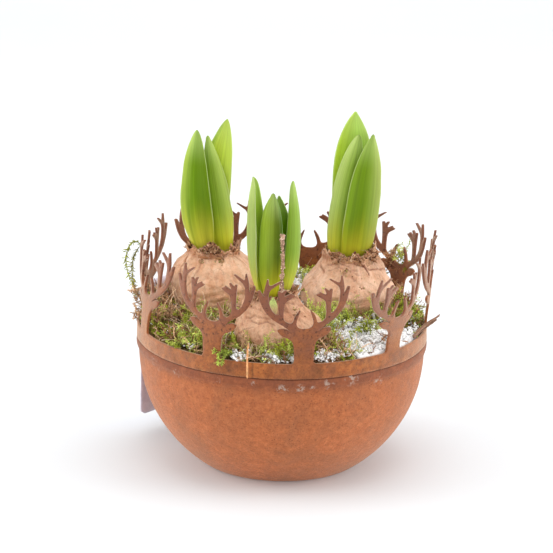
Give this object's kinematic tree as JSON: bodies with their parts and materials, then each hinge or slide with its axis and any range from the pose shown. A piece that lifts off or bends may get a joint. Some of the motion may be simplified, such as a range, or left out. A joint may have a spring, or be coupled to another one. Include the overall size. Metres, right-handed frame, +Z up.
{
  "type": "potted hyacinth",
  "caption": "Hyacinth bulbs in leaf, planted with moss and snow in a round rusted steel bowl whose rim carries a cut strip of deer heads.",
  "frame": {"origin": "centre of the underside of the bowl's flat foot", "axes": "+Z up, -Y towards the pictured front, +X to the right seen from the front"},
  "size_m": [0.1964, 0.1958, 0.2236],
  "materials": {
    "rusted_steel": "rusted, matt",
    "rusted_steel_dark": "rusted, matt",
    "soil": "crumbly, matt",
    "bulb_tunic": "papery, faintly glossy",
    "leaf": "waxy, faintly glossy",
    "moss": "soft, matt",
    "straw_moss": "dry, matt",
    "snow": "granular, matt",
    "dry_stem": "dry, matt",
    "straw": "dry, matt",
    "bark": "rough, matt",
    "label_card": "smooth, blank"
  },
  "bodies": {
    "root": {"bowl": "rusted_steel", "rim_strip": "rusted_steel", "head_front": "rusted_steel_dark", "head_front_right": "rusted_steel_dark", "head_right": "rusted_steel_dark", "head_back_right": "rusted_steel_dark", "head_back": "rusted_steel_dark", "head_back_left": "rusted_steel_dark", "head_left_rear": "rusted_steel_dark", "head_left": "rusted_steel_dark", "head_front_left": "rusted_steel_dark", "potting_soil": "soil", "bulb_left": "bulb_tunic", "bulb_right": "bulb_tunic", "bulb_front": "bulb_tunic", "leaf_left_outer": "leaf", "leaf_left_middle": "leaf", "leaf_left_back": "leaf", "leaf_right_back": "leaf", "leaf_right_left": "leaf", "leaf_right_outer": "leaf", "leaf_front_left": "leaf", "leaf_front_centre": "leaf", "leaf_front_rear": "leaf", "leaf_front_right": "leaf", "moss_front": "moss", "moss_front_left": "moss", "moss_back_left": "moss", "moss_right": "moss", "straw_moss_left": "straw_moss", "straw_moss_back_right": "straw_moss", "straw_moss_front": "straw_moss", "snow_front_left": "snow", "snow_back": "snow", "snow_front_right": "snow", "dry_stalk": "dry_stem", "straw_blade": "straw", "bark_splinter": "bark", "plant_label": "label_card"}
  },
  "joints": []
}
